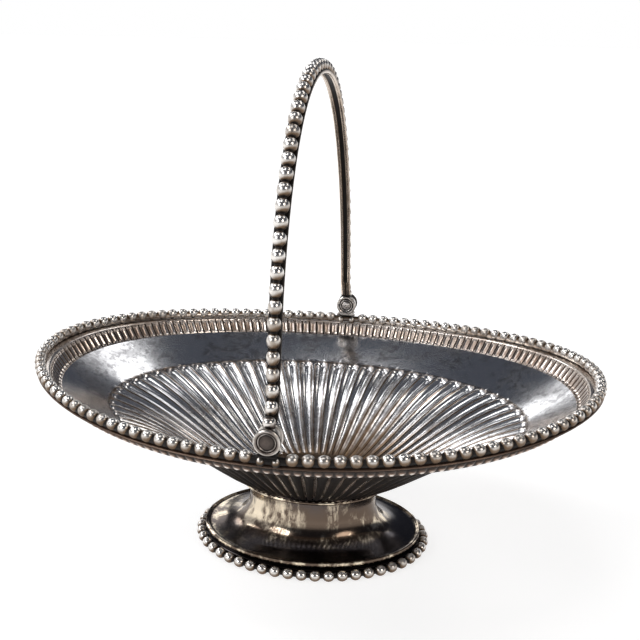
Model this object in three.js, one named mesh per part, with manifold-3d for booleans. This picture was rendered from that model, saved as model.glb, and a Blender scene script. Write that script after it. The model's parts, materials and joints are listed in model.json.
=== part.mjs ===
// Silver bread basket: a fluted oval bowl on a spreading foot, with a swing handle.
// Sizes are in millimetres, +Z up. X runs along the oval and Y along the hinge line.
// The origin is the middle of the foot's base, on the table.
import * as THREE from "three";
import { mergeVertices } from "three/addons/utils/BufferGeometryUtils.js";
import Module from "manifold-3d";

// Sheet metal and the seams between soldered pieces
const SHEET = 1.6;
const SEAM = 0.3;

// Rim, measured between the centres of its beads
const RIM_LENGTH = 330;
const RIM_WIDTH = 253;
const RIM_HEIGHT = 112.5;
const RIM_RISE = 4.7;
const RIM_BEAD = 6.4;
const RIM_BEAD_PITCH = 7.7;

// Bowl, from the rim inwards
const LIP_REACH = 2.4;
const STRIP_WIDTH = 4.9;
const STRIP_DROP = 1.5;
const BAND_WIDTH = 5.2;
const BAND_DROP = 7.3;
const WELL_LENGTH = 253;
const WELL_WIDTH = 177;
const WELL_EDGE_HEIGHT = 86.6;
const FLUTES = 64;
const FLUTE_DEPTH = 2.4;
const FLOOR_LENGTH = 76;
const FLOOR_WIDTH = 58;
const FLOOR_HEIGHT = 41.1;

// How the well leaves the floor and meets its edge, as shares of its reach and climb
const FLOOR_EASE = [0.23, 0.02];
const EDGE_EASE = [0.43, 0.22];

// Places up the well's curve, and how deep the flutes are there
const WELL_PLACES = [0, 0.08, 0.3, 0.55, 0.8, 0.957, 1];
const FLUTE_SHARES = [0, 0.3, 0.56, 0.8, 1, 1, 0];

// A flute's hollow section, from its middle to the ridge and back
const FLUTE_SECTION = [1, 0.7, 0, 0.7];

// How much of the well's width comes late, near its edge, and of the rim's rise
const LATE_WIDTH = 0.33;
const RISE_POWER = 4;

// Foot, measured over the centres of its beads
const FOOT_LENGTH = 141.2;
const FOOT_WIDTH = 112;
const FOOT_BEAD = 5.3;
const FOOT_BEAD_PITCH = 7.3;
const FOOT_BEAD_HEIGHT = 3.2;
const BASE_RING_HEIGHT = 5.5;
const BASE_RING_WIDTH = 3.2;
const FOOT_SHEET = 1.4;
const FOOT_LIP_HEIGHT = 9.8;
const FOOT_LIP_DIP = 0.6;
const FOOT_LIP_WIDTH = 3;
const WAIST_LENGTH = 78.6;
const WAIST_HEIGHT = 29.5;
const FLANGE_WIDTH = 13.6;
const FLANGE_HEIGHT = 13;
const NECK_LENGTH = 83;
const NECK_FLANGE = 5;
const NECK_WIRE = 2.2;

// Hinges of the handle
const EYE_THICKNESS = 4.4;
const EYE_RADIUS = 6.2;
const EAR_RADIUS = 5.9;
const EAR_THICKNESS = 2.3;
const EAR_RING = 1;
const EAR_RING_RISE = 1;
const BASE_THICKNESS = 1.2;
const BASE_LENGTH = 14;
const BASE_STEP = 0.8;
const BASE_LEDGE = 1;
const SEAT_BEAD = 3.8;
const PIN_RADIUS = 1.6;
const PIN_HEAD_RADIUS = 3.2;
const PIN_HEAD_THICKNESS = 0.5;
const RECESS_DEPTH = 1;
const PIN_DOME = 0.9;
const DOME_SHOULDER = 0.7;
const RUNNING_GAP = 0.3;

// Handle, measured along the centres of its beads
const HANDLE_TUCK = 7.5;
const HANDLE_RISE = 166.6;
const HANDLE_SQUARENESS = 2.25;
const HANDLE_FLARE = 9.6;
const FLARE_HEIGHT = 26;
const HANDLE_BEAD_LOW = 6.8;
const HANDLE_BEAD_HIGH = 7.7;
const HANDLE_PITCH = 8;
const BEAD_SEAT = 1.7;
const STRAP_THICKNESS = 2.4;
const STRAP_WIDTH_LOW = 6.4;
const STRAP_WIDTH_HIGH = 7.6;
const GROOVE_WIDTH = 2.2;
const GROOVE_DEPTH = 0.9;
const HANDLE_START = 11.2;
const END_BEAD_RADIUS = 3;

// Shares of a bead's size: the pinch between two beads, and the flat of a handle bead
const BEAD_PINCH = 0.5;
const SEAT_SHARE = 0.8;

// How finely round shapes are drawn
const OVAL_STEPS = 1600;
const BEAD_SIDES = 6;
const RING_STEPS = 44;
const ROUND_STEPS = 20;
const STEM_STEPS = [3, 4];
const END_BEAD_STEPS = [12, 8];

// Sizes that follow from the ones above
const halfLength = RIM_LENGTH / 2;
const rimAspect = RIM_WIDTH / RIM_LENGTH;
const floorHalf = FLOOR_LENGTH / 2;
const wellHalf = WELL_LENGTH / 2;
const ledgeHalf = halfLength - STRIP_WIDTH - STRIP_DROP - BAND_WIDTH;
const footAspect = FOOT_WIDTH / FOOT_LENGTH;
const footHalf = FOOT_LENGTH / 2;
const ringOuter = footHalf - FOOT_BEAD / 2 - SEAM;
const ringInner = ringOuter - BASE_RING_WIDTH;
const floorUnderside = FLOOR_HEIGHT - SHEET;
const seatHeight = RIM_HEIGHT - RIM_RISE + SEAT_BEAD / 2 + SEAM;
const hingeHeight = seatHeight + BASE_THICKNESS + RUNNING_GAP + EYE_RADIUS;
const eyeMiddle = RIM_WIDTH / 2;
const eyeInner = eyeMiddle - EYE_THICKNESS / 2;
const eyeOuter = eyeMiddle + EYE_THICKNESS / 2;
const innerEarFrom = eyeInner - RUNNING_GAP - EAR_THICKNESS;
const outerEarTo = eyeOuter + RUNNING_GAP + EAR_THICKNESS;
const holeRadius = PIN_RADIUS + RUNNING_GAP;
const recessRadius = PIN_HEAD_RADIUS + RUNNING_GAP;
const handleHalf = eyeMiddle - HANDLE_TUCK;

const wasm = await Module();
wasm.setup();

// Colours of silver plate, brighter where it is rubbed and darker low down
const silver = { color: 0xb9b4ab, roughness: 0.22, metalness: 1 };
const brightSilver = { color: 0xc9c5bd, roughness: 0.18, metalness: 1 };
const darkSilver = { color: 0x8f877c, roughness: 0.3, metalness: 1 };

const basket = new THREE.Group();
const handle = new THREE.Group();
basket.add(handle);

function addMesh(group, name, geometry, finish) {
  const mesh = new THREE.Mesh(geometry, new THREE.MeshStandardMaterial(finish));
  mesh.name = name;
  group.add(mesh);
  return mesh;
}

// Six times the volume inside the triangles, negative where they face inwards
function signedVolume(points, triangles) {
  let sum = 0;
  const cross = new THREE.Vector3();
  for (const [a, b, c] of triangles) {
    sum += points[a].dot(cross.crossVectors(points[b], points[c]));
  }
  return sum;
}

function solid(points, triangles) {
  const outward = signedVolume(points, triangles) > 0;
  const order = outward ? triangles : triangles.map(([a, b, c]) => [a, c, b]);
  const geometry = new THREE.BufferGeometry().setFromPoints(points);
  geometry.setIndex(order.flat());
  geometry.computeVertexNormals();
  return geometry;
}

// Triangles of the skin through loops of points. A loop of one point ends the skin
// there, and a closed skin joins its last loop to its first.
function skin(loops, closed) {
  const starts = [];
  let count = 0;
  for (const loop of loops) {
    starts.push(count);
    count += loop.length;
  }
  const triangles = [];
  const spans = closed ? loops.length : loops.length - 1;
  for (let i = 0; i < spans; i += 1) {
    const j = (i + 1) % loops.length;
    const sides = Math.max(loops[i].length, loops[j].length);
    for (let k = 0; k < sides; k += 1) {
      const next = (k + 1) % sides;
      const a = starts[i] + (k % loops[i].length);
      const b = starts[i] + (next % loops[i].length);
      const c = starts[j] + (k % loops[j].length);
      const d = starts[j] + (next % loops[j].length);
      if (a !== b) triangles.push([a, b, d]);
      if (c !== d) triangles.push([a, d, c]);
    }
  }
  return triangles;
}

function loft(loops, closed = false) {
  return solid(loops.flat(), skin(loops, closed));
}

// A flat outline's own triangles, turning the same way as the outline
function flatTriangles(outline) {
  const flat = outline.map(([x, y]) => new THREE.Vector2(x, y));
  const triangles = THREE.ShapeUtils.triangulateShape(flat, []);
  const corners = triangles[0].map((i) => flat[i]);
  const alike = THREE.ShapeUtils.area(corners) * THREE.ShapeUtils.area(flat) > 0;
  return alike ? triangles : triangles.map(([a, b, c]) => [a, c, b]);
}

function middle(loop) {
  const sum = new THREE.Vector3();
  for (const point of loop) sum.add(point);
  return sum.divideScalar(loop.length);
}

function capped(loops) {
  const first = [middle(loops[0])];
  const last = [middle(loops[loops.length - 1])];
  return loft([first, ...loops, last]);
}

function toManifold(geometry) {
  const bare = geometry.clone();
  bare.deleteAttribute("normal");
  bare.deleteAttribute("uv");
  const merged = mergeVertices(bare, 1e-4);
  const vertProperties = new Float32Array(merged.attributes.position.array);
  const triVerts = new Uint32Array(merged.index.array);
  return new wasm.Manifold(new wasm.Mesh({ numProp: 3, vertProperties, triVerts }));
}

function fromManifold(body) {
  const mesh = body.getMesh();
  const geometry = new THREE.BufferGeometry();
  geometry.setAttribute("position", new THREE.BufferAttribute(mesh.vertProperties, 3));
  geometry.setIndex(new THREE.BufferAttribute(mesh.triVerts, 1));
  geometry.computeVertexNormals();
  return geometry;
}

function ovalCurve(long, wide) {
  const oval = new THREE.EllipseCurve(0, 0, long / 2, wide / 2);
  oval.arcLengthDivisions = OVAL_STEPS;
  return oval;
}

// Angles round an oval that part it into steps of one arc length
function evenAngles(long, wide, count) {
  const oval = ovalCurve(long, wide);
  const step = (_, i) => 2 * Math.PI * oval.getUtoTmapping(i / count);
  return Array.from({ length: count }, step);
}

// The rim rises towards the ends of the oval and dips at its sides, and the flat
// floor and the lower well hardly follow it
function rise(out, angle) {
  const share = Math.max(0, out - floorHalf) / (halfLength - floorHalf);
  return RIM_RISE * share ** RISE_POWER * Math.cos(2 * angle);
}

// Half the width of the bowl's oval that reaches this far out along the length
function halfWidth(out) {
  if (out <= floorHalf) return (out * FLOOR_WIDTH) / FLOOR_LENGTH;
  if (out >= ledgeHalf) return out * rimAspect;
  if (out > wellHalf) {
    const share = (out - wellHalf) / (ledgeHalf - wellHalf);
    return THREE.MathUtils.lerp(WELL_WIDTH / 2, ledgeHalf * rimAspect, share);
  }
  const share = (out - floorHalf) / (wellHalf - floorHalf);
  const eased = (1 - LATE_WIDTH) * share + LATE_WIDTH * share ** 2;
  return THREE.MathUtils.lerp(FLOOR_WIDTH / 2, WELL_WIDTH / 2, eased);
}

function bowlPoint(out, height, angle) {
  const x = out * Math.cos(angle);
  const y = halfWidth(out) * Math.sin(angle);
  return new THREE.Vector3(x, y, height + rise(out, angle));
}

// Moves a section inwards by the sheet's thickness, square to the section
function offsetSection(section, thickness) {
  return section.map((here, i) => {
    const before = section[Math.max(i - 1, 0)];
    const after = section[Math.min(i + 1, section.length - 1)];
    const along = new THREE.Vector2(after.x - before.x, after.y - before.y).normalize();
    return new THREE.Vector2(here.x + along.y * thickness, here.y - along.x * thickness);
  });
}

// The bowl's upper face as distances out from the middle and heights
function bowlSection() {
  const floorEdge = new THREE.Vector2(floorHalf, FLOOR_HEIGHT);
  const wellEdge = new THREE.Vector2(wellHalf, WELL_EDGE_HEIGHT);
  const reach = wellEdge.x - floorEdge.x;
  const climb = wellEdge.y - floorEdge.y;
  const leave = new THREE.Vector2(FLOOR_EASE[0] * reach, FLOOR_EASE[1] * climb).add(floorEdge);
  const arrive = new THREE.Vector2(-EDGE_EASE[0] * reach, -EDGE_EASE[1] * climb).add(wellEdge);
  const curve = new THREE.CubicBezierCurve(floorEdge, leave, arrive, wellEdge);
  const well = WELL_PLACES.map((place) => curve.getPoint(place));
  const lipTop = RIM_HEIGHT - RIM_BEAD / 2 - SEAM;
  const stripEdge = new THREE.Vector2(halfLength - STRIP_WIDTH, lipTop);
  const bandTop = new THREE.Vector2(stripEdge.x - STRIP_DROP, lipTop - STRIP_DROP);
  const ledge = new THREE.Vector2(ledgeHalf, bandTop.y - BAND_DROP);
  return { well, ledge, bandTop, stripEdge, lipTop };
}

function makeBowl() {
  const { well, ledge, bandTop, stripEdge, lipTop } = bowlSection();
  const upper = [...well, ledge, bandTop, stripEdge];
  const lower = offsetSection(upper, SHEET);
  const columns = FLUTE_SECTION.length;
  const angles = evenAngles(RIM_LENGTH, RIM_WIDTH, columns * FLUTES);
  const ring = (point, share) => angles.map((angle, i) => {
    const channel = FLUTE_DEPTH * FLUTE_SECTION[i % columns] * share;
    return bowlPoint(point.x, point.y - channel, angle);
  });
  const lipEdge = halfLength + LIP_REACH;
  const lipRings = [lipTop, lipTop - SHEET].map((height) => (
    ring(new THREE.Vector2(lipEdge, height), 0)
  ));
  const rows = [
    [new THREE.Vector3(0, 0, FLOOR_HEIGHT)],
    ...upper.map((point, i) => ring(point, FLUTE_SHARES[i] ?? 0)),
    ...lipRings,
    ...lower.map((point, i) => ring(point, FLUTE_SHARES[i] ?? 0)).reverse(),
    [new THREE.Vector3(0, 0, FLOOR_HEIGHT - SHEET)],
  ];
  addMesh(basket, "bowl", loft(rows), silver);
}

// One turned section round a path: loops of a section with its own width
function tubeLoop(centre, side, up, radius, sides) {
  const loop = [];
  for (let i = 0; i < sides; i += 1) {
    const turn = (2 * Math.PI * i) / sides;
    const point = centre.clone();
    point.addScaledVector(side, radius * Math.cos(turn));
    point.addScaledVector(up, radius * Math.sin(turn));
    loop.push(point);
  }
  return loop;
}

// Half of a bead border, as one string of beads from the rear hinge line to the front
function beadBorder(angles, pointAt, radiusAt) {
  const up = new THREE.Vector3(0, 0, 1);
  const loops = angles.map((angle, i) => {
    const centre = pointAt(angle);
    const out = new THREE.Vector3(centre.x, centre.y, 0).normalize();
    return tubeLoop(centre, up, out, radiusAt(i, centre), BEAD_SIDES);
  });
  return capped(loops);
}

// Angles of a half oval: a belly in the middle of each bead and a neck between two
function halfBorderAngles(long, wide, pitch, end) {
  const oval = ovalCurve(long, wide);
  const half = oval.getLength() / 2;
  const beads = Math.round(half / pitch);
  const trim = SEAM / 2 / half;
  const steps = 2 * beads;
  const angles = [];
  for (let i = 0; i <= steps; i += 1) {
    const share = Math.min(Math.max(i / steps, trim), 1 - trim);
    angles.push(2 * Math.PI * oval.getUtoTmapping((0.25 + share / 2 + end) % 1));
  }
  return angles;
}

function makeRimBorder() {
  const radius = RIM_BEAD / 2;
  const seat = BASE_LENGTH / 2 + radius;
  const radiusAt = (i, centre) => {
    const bead = Math.abs(centre.x) < seat ? SEAT_BEAD / 2 : radius;
    return i % 2 ? bead : BEAD_PINCH * bead;
  };
  const pointAt = (angle) => bowlPoint(halfLength, RIM_HEIGHT, angle);
  for (const [name, end] of [["rim_border_left", 0], ["rim_border_right", 0.5]]) {
    const angles = halfBorderAngles(RIM_LENGTH, RIM_WIDTH, RIM_BEAD_PITCH, end);
    addMesh(basket, name, beadBorder(angles, pointAt, radiusAt), brightSilver);
  }
}

function makeFootBorder() {
  const radius = FOOT_BEAD / 2;
  const radiusAt = (i) => (i % 2 ? radius : BEAD_PINCH * radius);
  const pointAt = (angle) => footPoint(footHalf, FOOT_BEAD_HEIGHT, angle);
  for (const [name, end] of [["foot_border_left", 0], ["foot_border_right", 0.5]]) {
    const angles = halfBorderAngles(FOOT_LENGTH, FOOT_WIDTH, FOOT_BEAD_PITCH, end);
    addMesh(basket, name, beadBorder(angles, pointAt, radiusAt), brightSilver);
  }
}

// The foot's base ring keeps one width all round. Further in, its ovals shrink
// in proportion.
function footPoint(out, height, angle) {
  const edge = Math.min(footHalf - out, footHalf - ringInner);
  const halfWidth = out * footAspect - (1 - footAspect) * edge;
  return new THREE.Vector3(out * Math.cos(angle), halfWidth * Math.sin(angle), height);
}

function footRing(section) {
  const angles = evenAngles(FOOT_LENGTH, FOOT_WIDTH, RING_STEPS);
  return loft(section.map(([out, height]) => (
    angles.map((angle) => footPoint(out, height, angle))
  )), true);
}

function makeFoot() {
  const top = floorUnderside - SEAM;
  const neck = NECK_LENGTH / 2;
  const waist = WAIST_LENGTH / 2;
  const ringMiddle = (ringOuter + ringInner) / 2;
  const ringSeat = BASE_RING_HEIGHT + SEAM;
  const waistEdge = new THREE.Vector2(waist, WAIST_HEIGHT);
  const upper = new THREE.QuadraticBezierCurve(
    new THREE.Vector2(neck, top),
    new THREE.Vector2(waist, (top + WAIST_HEIGHT) / 2),
    waistEdge,
  );
  const lower = new THREE.QuadraticBezierCurve(
    waistEdge,
    new THREE.Vector2(waist, FLANGE_HEIGHT),
    new THREE.Vector2(ringOuter - FLANGE_WIDTH, FOOT_LIP_HEIGHT + FOOT_LIP_DIP),
  );
  const outer = [
    ...upper.getPoints(STEM_STEPS[0]).slice(0, -1),
    ...lower.getPoints(STEM_STEPS[1]),
    new THREE.Vector2(ringOuter - FOOT_LIP_WIDTH, FOOT_LIP_HEIGHT - FOOT_LIP_DIP),
    new THREE.Vector2(ringOuter, FOOT_LIP_HEIGHT),
  ];
  const inner = offsetSection(outer, FOOT_SHEET);
  const section = [
    ...outer.map((point) => [point.x, point.y]),
    [ringOuter, FOOT_LIP_HEIGHT - FOOT_SHEET],
    [ringMiddle + FOOT_SHEET / 2, ringSeat],
    [ringMiddle - FOOT_SHEET / 2, ringSeat],
    ...inner.slice(1, -2).reverse().map((point) => [point.x, point.y]),
    [neck - NECK_FLANGE, top - FOOT_SHEET],
    [neck - NECK_FLANGE, top],
  ];
  addMesh(basket, "foot", footRing(section), silver);
  const ringSection = [
    [ringInner, 0],
    [ringOuter, 0],
    [ringOuter, BASE_RING_HEIGHT],
    [ringInner, BASE_RING_HEIGHT],
  ];
  addMesh(basket, "foot_base_ring", footRing(ringSection), darkSilver);
}

// A wire round the neck hides the seam between bowl and foot
function makeNeckWire() {
  const radius = NECK_WIRE / 2;
  const centre = NECK_LENGTH / 2 + radius + SEAM;
  const height = floorUnderside - SEAM - radius;
  const section = [];
  for (let i = 0; i < BEAD_SIDES; i += 1) {
    const turn = (2 * Math.PI * i) / BEAD_SIDES;
    section.push([centre + radius * Math.cos(turn), height + radius * Math.sin(turn)]);
  }
  addMesh(basket, "neck_wire", footRing(section), brightSilver);
}

// A flat outline drawn across the hinge line, thick between two distances outboard.
// It is made at the front hinge, and a half turn carries it to the rear one.
function acrossHinge(shape, from, to) {
  const options = { depth: to - from, bevelEnabled: false, curveSegments: ROUND_STEPS / 2 };
  const geometry = new THREE.ExtrudeGeometry(shape, options);
  return geometry.translate(0, 0, from).rotateX(Math.PI / 2);
}

function hingeDisc(radius, from, to) {
  const shape = new THREE.Shape().absarc(0, hingeHeight, radius, 0, 2 * Math.PI, false);
  return toManifold(acrossHinge(shape, from, to));
}

// An ear is a disc on a shank that spreads to the base
function earShape() {
  const spread = BASE_LENGTH / 2 - BASE_STEP;
  const shankTop = hingeHeight - EAR_RADIUS / 2;
  const shank = EAR_RADIUS * Math.cos(Math.PI / 6);
  const waist = (shankTop + seatHeight + BASE_THICKNESS) / 2;
  const shape = new THREE.Shape().moveTo(-spread, seatHeight);
  shape.lineTo(-spread, seatHeight + BASE_THICKNESS);
  shape.quadraticCurveTo(-shank, waist, -shank, shankTop);
  shape.absarc(0, hingeHeight, EAR_RADIUS, Math.PI * 7 / 6, -Math.PI / 6, true);
  shape.quadraticCurveTo(shank, waist, spread, seatHeight + BASE_THICKNESS);
  shape.lineTo(spread, seatHeight);
  shape.closePath();
  return shape;
}

function rectangle(width, bottom, height) {
  const shape = new THREE.Shape().moveTo(-width / 2, bottom);
  shape.lineTo(width / 2, bottom);
  shape.lineTo(width / 2, bottom + height);
  shape.lineTo(-width / 2, bottom + height);
  return shape;
}

// Two ears on one base, the pin's heads sunk into their outer faces
function makeBracket() {
  const plate = rectangle(BASE_LENGTH, seatHeight, BASE_THICKNESS);
  const base = acrossHinge(plate, innerEarFrom, outerEarTo + BASE_LEDGE);
  const inner = acrossHinge(earShape(), innerEarFrom, innerEarFrom + EAR_THICKNESS);
  const outer = acrossHinge(earShape(), outerEarTo - EAR_THICKNESS, outerEarTo);
  const ring = hingeDisc(EAR_RADIUS, outerEarTo - SHEET, outerEarTo + EAR_RING_RISE);
  const ringHole = hingeDisc(EAR_RADIUS - EAR_RING, outerEarTo, outerEarTo + 2 * EAR_RING_RISE);
  const bore = hingeDisc(holeRadius, innerEarFrom - SHEET, outerEarTo + SHEET);
  const innerRecess = hingeDisc(recessRadius, innerEarFrom - SHEET, innerEarFrom + RECESS_DEPTH);
  const outerRecess = hingeDisc(recessRadius, outerEarTo - RECESS_DEPTH, outerEarTo + SHEET);
  const body = toManifold(base)
    .add(toManifold(inner))
    .add(toManifold(outer))
    .add(ring)
    .subtract(ringHole)
    .subtract(bore)
    .subtract(innerRecess)
    .subtract(outerRecess);
  return fromManifold(body);
}

// The pin is riveted into the recesses: a dome inside and a flat head outside
function makePin() {
  const innerSeat = innerEarFrom + RECESS_DEPTH - SEAM;
  const outerSeat = outerEarTo - RECESS_DEPTH + SEAM;
  const outline = [
    [0, innerSeat - PIN_HEAD_THICKNESS - PIN_DOME],
    [PIN_HEAD_RADIUS / 2, innerSeat - PIN_HEAD_THICKNESS - DOME_SHOULDER * PIN_DOME],
    [PIN_HEAD_RADIUS, innerSeat - PIN_HEAD_THICKNESS],
    [PIN_HEAD_RADIUS, innerSeat],
    [PIN_RADIUS, innerSeat],
    [PIN_RADIUS, outerSeat],
    [PIN_HEAD_RADIUS, outerSeat],
    [PIN_HEAD_RADIUS, outerSeat + PIN_HEAD_THICKNESS],
    [0, outerSeat + PIN_HEAD_THICKNESS],
  ].map(([radius, out]) => new THREE.Vector2(radius, out));
  const geometry = new THREE.LatheGeometry(outline, ROUND_STEPS);
  return geometry.rotateZ(Math.PI).translate(0, 0, hingeHeight);
}

// The handle's curve: a squared half oval whose limbs flare out to the hinges
class BailCurve extends THREE.Curve {
  constructor() {
    super();
    this.start = Math.asin((HANDLE_START / HANDLE_RISE) ** (HANDLE_SQUARENESS / 2));
    this.arcLengthDivisions = 3000;
  }

  getPoint(t, target = new THREE.Vector3()) {
    const angle = this.start + (Math.PI - 2 * this.start) * t;
    const power = 2 / HANDLE_SQUARENESS;
    const height = HANDLE_RISE * Math.sin(angle) ** power;
    const low = Math.max(0, 1 - height / FLARE_HEIGHT);
    const limb = handleHalf * Math.abs(Math.cos(angle)) ** power;
    const out = limb + HANDLE_FLARE * low ** 2;
    return target.set(0, -Math.sign(Math.cos(angle)) * out, hingeHeight + height);
  }
}

const bail = new BailCurve();
const across = new THREE.Vector3(1, 0, 0);

function bailFrame(u) {
  const centre = bail.getPointAt(u);
  const tangent = bail.getTangentAt(u);
  const outward = new THREE.Vector3().crossVectors(across, tangent);
  return { centre, tangent, outward };
}

// A section's points as distances across the handle and out from its curve
function bailLoop(u, section) {
  const { centre, outward } = bailFrame(u);
  return section.map(([side, out]) => (
    centre.clone().addScaledVector(across, side).addScaledVector(outward, out)
  ));
}

function growth(low, high, u) {
  return low + (high - low) * Math.sin(Math.PI * u);
}

function strapSection(u) {
  const half = growth(STRAP_WIDTH_LOW, STRAP_WIDTH_HIGH, u) / 2;
  const groove = GROOVE_WIDTH / 2;
  const face = -BEAD_SEAT - SEAM;
  const back = face - STRAP_THICKNESS;
  return [
    [-half, face],
    [half, face],
    [half, back],
    [groove, back],
    [groove, back + GROOVE_DEPTH],
    [-groove, back + GROOVE_DEPTH],
    [-groove, back],
    [-half, back],
  ];
}

function makeStrap() {
  const joints = beadJoints();
  const stations = joints.flatMap((joint, k) => (
    k === 0 ? [joint] : [(joints[k - 1] + joint) / 2, joint]
  ));
  const loops = stations.map((station) => bailLoop(station, strapSection(station)));
  const end = flatTriangles(strapSection(0));
  const last = loops.flat().length - loops[0].length;
  const triangles = [
    ...skin(loops, false),
    ...end.map(([a, b, c]) => [a, c, b]),
    ...end.map(([a, b, c]) => [last + a, last + b, last + c]),
  ];
  addMesh(handle, "handle_strap", solid(loops.flat(), triangles), silver);
}

// Places along the handle, as shares of its length, where beads meet
function beadJoints() {
  const beads = Math.round(bail.getLength() / HANDLE_PITCH);
  return Array.from({ length: beads + 1 }, (_, k) => k / beads);
}

// A bead's section is round outside and flat where it sits on the strap
function beadSection(radius) {
  const round = [0, 1, 2, 3, 4].map((i) => {
    const turn = (Math.PI * i) / 4;
    return [radius * Math.cos(turn), radius * Math.sin(turn)];
  });
  const seat = SEAT_SHARE * radius;
  return [...round, [-seat, -BEAD_SEAT], [seat, -BEAD_SEAT]];
}

function makeHandleBeads() {
  const joints = beadJoints();
  const loops = [];
  joints.forEach((joint, k) => {
    const radius = growth(HANDLE_BEAD_LOW, HANDLE_BEAD_HIGH, joint) / 2;
    loops.push(bailLoop(joint, beadSection(BEAD_PINCH * radius)));
    if (k + 1 === joints.length) return;
    loops.push(bailLoop((joint + joints[k + 1]) / 2, beadSection(radius)));
  });
  addMesh(handle, "handle_beads", capped(loops), brightSilver);
}

// The handle's cast end: an eye round the pin, a shoulder up to the strap and a bead
function makeHandleEnd() {
  const eyeShape = new THREE.Shape();
  eyeShape.absarc(0, hingeHeight, EYE_RADIUS, 0, 2 * Math.PI, false);
  const hole = new THREE.Path().absarc(0, hingeHeight, holeRadius, 0, 2 * Math.PI, true);
  eyeShape.holes.push(hole);
  const eye = toManifold(acrossHinge(eyeShape, eyeInner, eyeOuter));
  const { centre, tangent, outward } = bailFrame(0);
  const top = centre.clone().addScaledVector(tangent, -SEAM);
  const outside = centre.clone().addScaledVector(outward, -BEAD_SEAT - SEAM);
  const inside = outside.clone().addScaledVector(outward, -STRAP_THICKNESS);
  const clearOfEar = hingeHeight + EAR_RADIUS + 2 * RUNNING_GAP;
  const low = hingeHeight + EYE_RADIUS - RECESS_DEPTH;
  const outline = [
    [-inside.y, inside.z],
    [eyeInner, clearOfEar],
    [eyeInner, low],
    [eyeOuter, low],
    [eyeOuter, clearOfEar],
    [-outside.y, outside.z],
  ].map(([x, y]) => new THREE.Vector2(x, y));
  const depth = STRAP_WIDTH_LOW;
  const block = new THREE.ExtrudeGeometry(new THREE.Shape(outline), { depth, bevelEnabled: false });
  const turn = new THREE.Matrix4().makeBasis(
    new THREE.Vector3(0, -1, 0),
    new THREE.Vector3(0, 0, 1),
    new THREE.Vector3(-1, 0, 0),
  );
  block.translate(0, 0, -depth / 2).applyMatrix4(turn);
  const overEar = EYE_THICKNESS / 2 + RUNNING_GAP;
  const beadDip = Math.sqrt(Math.max(0, END_BEAD_RADIUS ** 2 - overEar ** 2));
  const bead = new THREE.SphereGeometry(END_BEAD_RADIUS, ...END_BEAD_STEPS);
  bead.translate(0, -eyeMiddle, clearOfEar + beadDip);
  const above = new THREE.BoxGeometry(3 * depth, 2 * depth, 3 * depth).translate(0, depth, 0);
  above.applyMatrix4(new THREE.Matrix4().makeBasis(across, tangent, outward));
  above.translate(top.x, top.y, top.z);
  return fromManifold(eye.add(toManifold(block)).add(toManifold(bead)).subtract(toManifold(above)));
}

function makeHinges() {
  for (const [place, turn] of [["front", 0], ["rear", Math.PI]]) {
    addMesh(basket, `hinge_bracket_${place}`, makeBracket(), silver).rotation.z = turn;
    addMesh(basket, `hinge_pin_${place}`, makePin(), darkSilver).rotation.z = turn;
    addMesh(handle, `handle_end_${place}`, makeHandleEnd(), silver).rotation.z = turn;
  }
}

makeBowl();
makeRimBorder();
makeNeckWire();
makeFoot();
makeFootBorder();
makeStrap();
makeHandleBeads();
makeHinges();

export default basket;
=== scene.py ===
# %% [markdown]
# # An old silver bread basket
# The basket is a fluted oval bowl on a spreading foot, edged with beads, and its
# beaded handle swings on two rivets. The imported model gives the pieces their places.
# Each piece is modelled again here with its fine surface, on the same oval lines.

import json
import math
from collections import namedtuple

import bmesh
import bpy
import numpy as np
from mathutils import Matrix, Vector
from mathutils.geometry import interpolate_bezier

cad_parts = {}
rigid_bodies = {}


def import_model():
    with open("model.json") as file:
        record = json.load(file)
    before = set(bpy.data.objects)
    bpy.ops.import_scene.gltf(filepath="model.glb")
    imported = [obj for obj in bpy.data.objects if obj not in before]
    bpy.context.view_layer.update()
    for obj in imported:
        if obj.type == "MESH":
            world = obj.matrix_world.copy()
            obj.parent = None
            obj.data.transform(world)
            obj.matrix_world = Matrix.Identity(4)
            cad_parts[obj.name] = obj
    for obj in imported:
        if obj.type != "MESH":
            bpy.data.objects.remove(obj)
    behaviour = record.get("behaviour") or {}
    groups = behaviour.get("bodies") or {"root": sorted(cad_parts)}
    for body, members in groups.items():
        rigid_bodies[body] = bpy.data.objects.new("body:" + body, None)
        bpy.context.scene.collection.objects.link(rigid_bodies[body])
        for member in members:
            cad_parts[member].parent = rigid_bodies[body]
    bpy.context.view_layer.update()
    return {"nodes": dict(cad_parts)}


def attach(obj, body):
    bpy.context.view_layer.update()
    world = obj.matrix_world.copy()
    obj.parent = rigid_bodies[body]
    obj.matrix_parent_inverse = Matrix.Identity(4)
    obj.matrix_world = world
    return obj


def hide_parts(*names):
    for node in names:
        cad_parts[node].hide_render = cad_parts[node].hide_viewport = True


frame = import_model()
print("nodes:", sorted(frame["nodes"]))

# %% [markdown]
# ## The camera
# The camera's place was worked out from the photograph: the rows of beads, the ledge,
# the foot and the handle all meet their own outlines from here. It is turned by a
# little more than one degree, as a hand-held camera is, and looks down on the basket.

# %% Place the camera
CAMERA_AZIMUTH = math.radians(9.771)
CAMERA_ELEVATION = math.radians(17.878)
CAMERA_ROLL = math.radians(1.330)
CAMERA_DISTANCE = 0.5878
CAMERA_TARGET = Vector((0, 0, 0.12266))
SENSOR_WIDTH = 36
NEAREST_SEEN = 0.01
PHOTO_WIDTH = 640
FOCAL_PIXELS = 987.75
CENTRE_PIXEL = (316, 350)


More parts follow.
